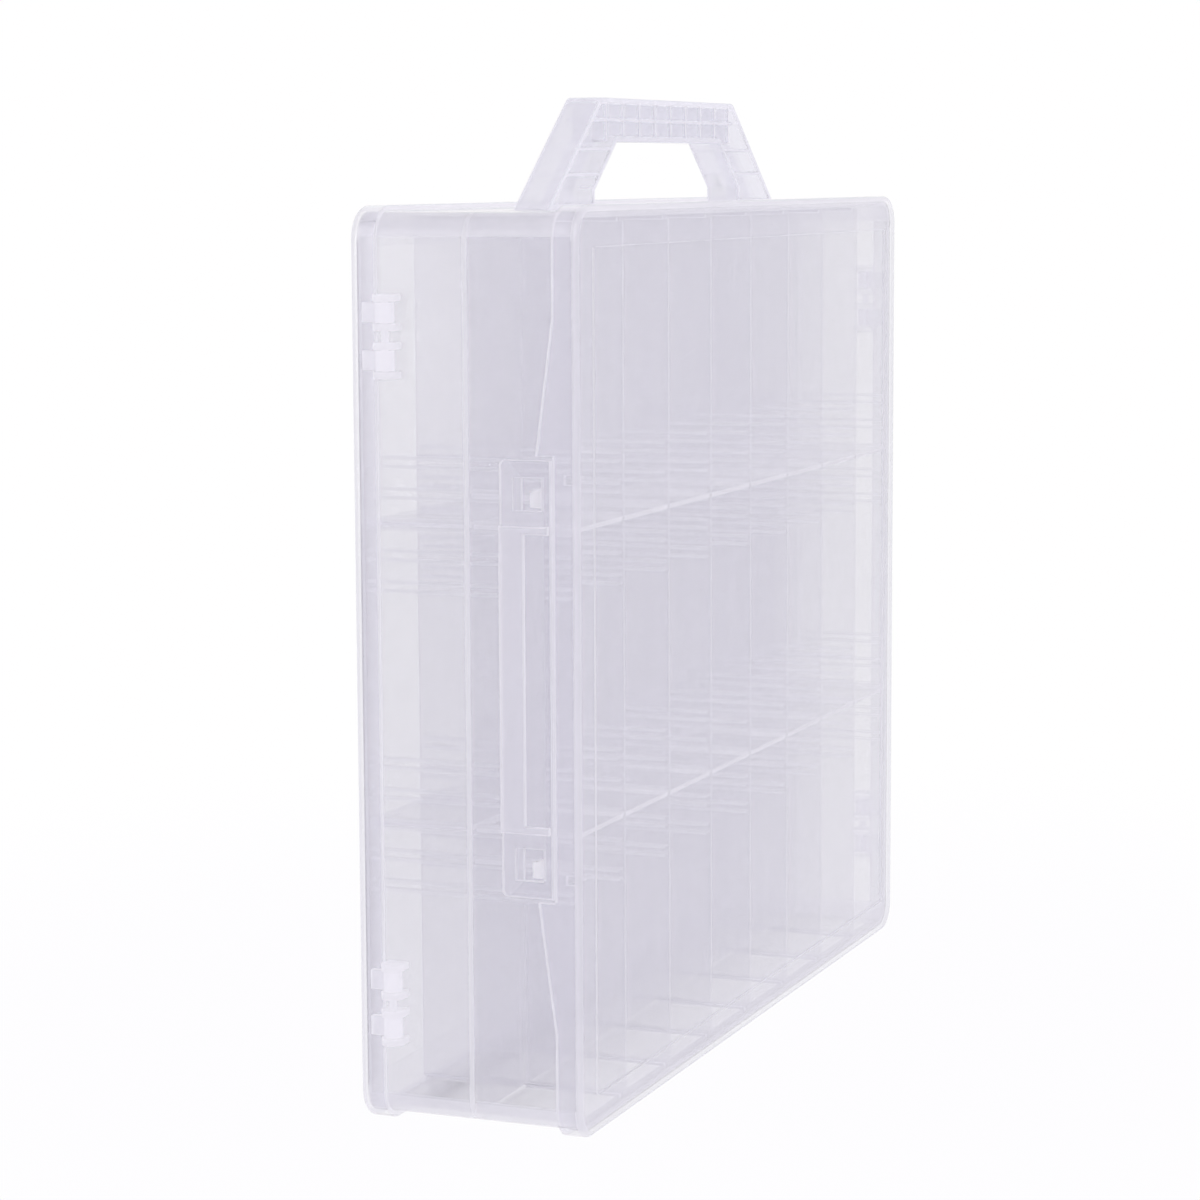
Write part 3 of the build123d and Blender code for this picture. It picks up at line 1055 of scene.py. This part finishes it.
@dataclass
class LatchFlap:
    """Flap with two windows and a finger grip, on the thin film that joins it to its lid."""

    side: Side
    hinge_x: float = -165.0
    rim_y: float = -29.4
    tall: float = 136.0
    middle_height: float = 145.0
    film_gap: float = 0.15
    film_thickness: float = 0.3
    film_reach: float = 0.8
    film_swell: float = 0.25
    film_end: float = 0.3
    film_steps: int = 12
    bend: tuple[float, float] = (-0.15, 0.3)

    def build(self, shop: Workshop) -> None:
        """Dress the flap and add its film hinge.

        Args:
            shop: frame, finishes and tools.
        """
        node = f"{self.side.word}_latch"
        piece = welded_copy(node, f"{node}_flap", shop.frame)
        shop.finish(piece, node, Slot.LATCH, [node])
        self._film(shop)

    def _film(self, shop: Workshop) -> None:
        """Add the moulded film between the lid and the flap.

        It is thinner at both ends, and its outer face swells a little in the middle.

        Args:
            shop: frame, finishes and tools.
        """
        word = self.side.word
        low = self.rim_y - self.film_reach
        step = (2 * self.film_reach + self.film_gap) / self.film_steps
        bottom = self.middle_height - self.tall / 2
        top = self.middle_height + self.tall / 2
        shape = bmesh.new()
        rings = []
        for k in range(self.film_steps + 1):
            y = low + k * step
            arch = math.sin(math.pi * k / self.film_steps)
            outer = self.hinge_x - self.film_thickness * self.film_swell * arch
            inner = outer + self.film_thickness * (self.film_end + (1 - self.film_end) * arch)
            corners = [(outer, y, bottom), (outer, y, top), (inner, y, top), (inner, y, bottom)]
            rings.append([shape.verts.new(Vector(c) * MM) for c in corners])
        for ring, after in zip(rings, rings[1:]):
            for k in range(len(ring)):
                shape.faces.new((ring[k - 1], ring[k], after[k], after[k - 1]))
        shape.faces.new(reversed(rings[0]))
        shape.faces.new(rings[-1])
        bmesh.ops.recalc_face_normals(shape, faces=shape.faces)
        mesh = bpy.data.meshes.new(f"{word}_latch_film")
        shape.to_mesh(mesh)
        shape.free()
        mesh.transform(self.side.turn)
        piece = new_piece(mesh.name, mesh)
        piece.data.shade_smooth()
        piece.data.set_sharp_from_angle(angle=math.radians(shop.rounding.sharp_angle))
        shop.gauge.apply(piece)
        piece.data.materials.append(shop.finishes.of(Slot.LATCH))
        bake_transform(piece)
        LOG.info("%s: bends between lid and flap", piece.name)


def plain_sheet(name: str, width: float, depth: float) -> bpy.types.Object:
    """Add a flat sheet for the studio.

    Args:
        name: name of the sheet.
        width: side along X, in metres.
        depth: side along Y, in metres.

    Returns:
        The sheet, centred on the origin.
    """
    shape = bmesh.new()
    bmesh.ops.create_grid(shape, x_segments=1, y_segments=1, size=0.5)
    bmesh.ops.scale(shape, vec=(width, depth, 1.0), verts=shape.verts)
    mesh = bpy.data.meshes.new(name)
    shape.to_mesh(mesh)
    shape.free()
    sheet = new_piece(name, mesh)
    return sheet


@dataclass(frozen=True)
class SoftBox:
    """Glowing sheet of diffusion cloth: where it stands, what it faces, its sides and its glow."""

    name: str
    place: tuple[float, float, float]
    target: tuple[float, float, float]
    size: tuple[float, float]
    glow: float
    colour: str = WHITE

    def build(self) -> None:
        """Add the soft box, which shows only in gloss and leaves the even light to the sky."""
        sheet = plain_sheet(self.name, *self.size)
        away = Vector(self.target) - Vector(self.place)
        turn = away.to_track_quat("Z", "Y").to_matrix().to_4x4()
        sheet.data.transform(Matrix.Translation(self.place) @ turn)
        sheet.visible_camera = False
        sheet.visible_diffuse = False
        sheet.visible_shadow = False
        material = bpy.data.materials.new(f"{self.name}_cloth")
        material.use_nodes = True
        material.cycles.emission_sampling = "NONE"
        tree = material.node_tree
        tree.nodes.clear()
        front = add_node(
            tree,
            "ShaderNodeEmission",
            {"Color": linear_colour(self.colour), "Strength": self.glow},
        )
        back = add_node(tree, "ShaderNodeBsdfTransparent")
        side = add_node(tree, "ShaderNodeNewGeometry").outputs["Backfacing"]
        both = add_node(
            tree, "ShaderNodeMixShader", {0: side, 1: front.outputs[0], 2: back.outputs[0]}
        )
        add_node(tree, "ShaderNodeOutputMaterial", {"Surface": both.outputs[0]})
        sheet.data.materials.append(material)


@dataclass
class Studio:
    """White sweep with a pale floor, an even sky and a few soft boxes."""

    sky_strength: float = 1.0
    sky_colour: str = "#FCFBFF"
    floor_colour: str = "#FEFEFE"
    floor_side: float = 8.0
    floor_share: float = 0.4
    near_floor: float = 0.12
    far_floor: float = 0.6
    soft_boxes: tuple[SoftBox, ...] = (
        SoftBox(
            "key_soft_box",
            place=(-1.6, -1.5, 1.3),
            target=(0.0, 0.0, 0.15),
            size=(1.5, 1.5),
            glow=4.0,
        ),
        SoftBox(
            "side_strip",
            place=(-1.8, 1.0, 0.8),
            target=(-0.1, 0.0, 0.15),
            size=(0.4, 1.6),
            glow=4.0,
        ),
    )

    def build(self) -> None:
        """Add the sky, the floor and the soft boxes."""
        self._sky()
        self._floor()
        for soft_box in self.soft_boxes:
            soft_box.build()

    @staticmethod
    def _seen(tree: bpy.types.NodeTree) -> bpy.types.NodeSocket:
        """Tell the rays that show the backdrop itself, directly or in gloss and glass.

        Args:
            tree: node tree of the backdrop.

        Returns:
            Socket that is 1 for them.
        """
        path = add_node(tree, "ShaderNodeLightPath").outputs
        either = add_node(
            tree,
            "ShaderNodeMath",
            {0: path["Is Camera Ray"], 1: path["Is Glossy Ray"]},
            operation="MAXIMUM",
        )
        return add_node(
            tree,
            "ShaderNodeMath",
            {0: either.outputs[0], 1: path["Is Transmission Ray"]},
            operation="MAXIMUM",
        ).outputs[0]

    def _sky(self) -> None:
        """Even light from all round, and plain white where the backdrop is seen."""
        world = bpy.data.worlds.new("studio_sky")
        bpy.context.scene.world = world
        world.use_nodes = True
        # The sky is even all round, so the rays that leave a surface find it by themselves
        world.cycles.sampling_method = "NONE"
        tree = world.node_tree
        tree.nodes.clear()
        light = add_node(
            tree,
            "ShaderNodeBackground",
            {"Color": linear_colour(self.sky_colour), "Strength": self.sky_strength},
        )
        white = add_node(
            tree, "ShaderNodeBackground", {"Color": linear_colour(WHITE), "Strength": 1.0}
        )
        both = add_node(
            tree,
            "ShaderNodeMixShader",
            {0: self._seen(tree), 1: light.outputs[0], 2: white.outputs[0]},
        )
        add_node(tree, "ShaderNodeOutputWorld", {"Surface": both.outputs[0]})

    def _floor(self) -> None:
        """Pale floor that keeps the shadow of the case and fades into the white backdrop."""
        floor = plain_sheet("studio_floor", self.floor_side, self.floor_side)
        material = bpy.data.materials.new("white_paper_sweep")
        material.use_nodes = True
        tree = material.node_tree
        tree.nodes.clear()
        place = add_node(tree, "ShaderNodeTexCoord").outputs["Object"]
        away = add_node(tree, "ShaderNodeVectorMath", {0: place}, operation="LENGTH")
        near = add_node(
            tree,
            "ShaderNodeMapRange",
            {
                "Value": away.outputs["Value"],
                "From Min": self.near_floor,
                "From Max": self.far_floor,
                "To Min": 1 - self.floor_share,
                "To Max": 1.0,
            },
            interpolation_type="SMOOTHSTEP",
        )
        seen = add_node(
            tree, "ShaderNodeMath", {0: self._seen(tree), 1: near.outputs[0]}, operation="MULTIPLY"
        )
        paper = add_node(tree, "ShaderNodeBsdfDiffuse", {"Color": linear_colour(self.floor_colour)})
        white = add_node(
            tree, "ShaderNodeEmission", {"Color": linear_colour(WHITE), "Strength": 1.0}
        )
        both = add_node(
            tree,
            "ShaderNodeMixShader",
            {0: seen.outputs[0], 1: paper.outputs[0], 2: white.outputs[0]},
        )
        add_node(tree, "ShaderNodeOutputMaterial", {"Surface": both.outputs[0]})
        floor.data.materials.append(material)


@dataclass(frozen=True)
class PhotoCamera:
    """Camera where the photograph was taken from, worked out from the edges of the case."""

    place: tuple[float, float, float] = (-1.10394, -0.42065, 0.30017)
    heading: float = 68.19
    dip: float = 7.27
    roll: float = -0.27
    lens: float = 100.85
    sensor: float = 36.0

    def build(self) -> None:
        """Add the camera and make it the scene's own."""
        heading, dip, roll = (math.radians(a) for a in (self.heading, self.dip, self.roll))
        ahead = Vector(
            (math.sin(heading) * math.cos(dip), math.cos(heading) * math.cos(dip), -math.sin(dip))
        )
        level = Vector((math.cos(heading), -math.sin(heading), 0.0))
        above = level.cross(ahead)
        right = math.cos(roll) * level + math.sin(roll) * above
        top = math.cos(roll) * above - math.sin(roll) * level
        data = bpy.data.cameras.new("photo_camera")
        data.lens = self.lens
        data.sensor_width = self.sensor
        camera = bpy.data.objects.new("photo_camera", data)
        turned = Matrix((right, top, -ahead)).transposed().to_4x4()
        camera.matrix_world = Matrix.Translation(self.place) @ turned
        bpy.context.scene.collection.objects.link(camera)
        bpy.context.scene.camera = camera


@dataclass(frozen=True)
class RenderDepth:
    """How far light is followed: the case stacks about forty see-through walls and plates.

    Milky plastic hardly absorbs light, so light that it has scattered twice is taken as the even
    light of the room, past anything nearer than the reach in millimetres.
    """

    see_through: int = 64
    bounces: int = 12
    diffuse: int = 6
    followed: int = 1
    reach: float = 0.05

    def apply(self) -> None:
        """Set the limits, and the plain view of the colours."""
        scene = bpy.context.scene
        scene.cycles.transparent_max_bounces = self.see_through
        scene.cycles.max_bounces = self.bounces
        scene.cycles.diffuse_bounces = self.diffuse
        # Fine lines seen through many walls stay straight when the denoiser is led by colour alone
        scene.cycles.denoising_input_passes = "RGB_ALBEDO"
        scene.cycles.sampling_pattern = "TABULATED_SOBOL"
        scene.cycles.use_fast_gi = True
        scene.cycles.fast_gi_method = "REPLACE"
        scene.cycles.ao_bounces_render = self.followed
        scene.world.light_settings.distance = self.reach * MM
        scene.view_settings.view_transform = "Standard"


def main() -> None:
    """Build the whole scene around the frame."""
    logging.basicConfig(level=logging.INFO, format="%(name)s %(message)s")
    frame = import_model()
    shop = Workshop(frame, Finishes())
    layout = ColumnLayout()
    CaseBody(layout).build(shop)
    CarryHandle().build(shop)
    for side in Side:
        ColumnDividers(layout).build(shop, side)
        for level_word, level in zip(("lower", "upper"), layout.levels):
            Shelves(layout).build(shop, side, level_word, level)
        Lid(side).build(shop)
        LatchFlap(side).build(shop)
    Studio().build()
    PhotoCamera().build()
    RenderDepth().apply()


if __name__ == "__main__":
    main()
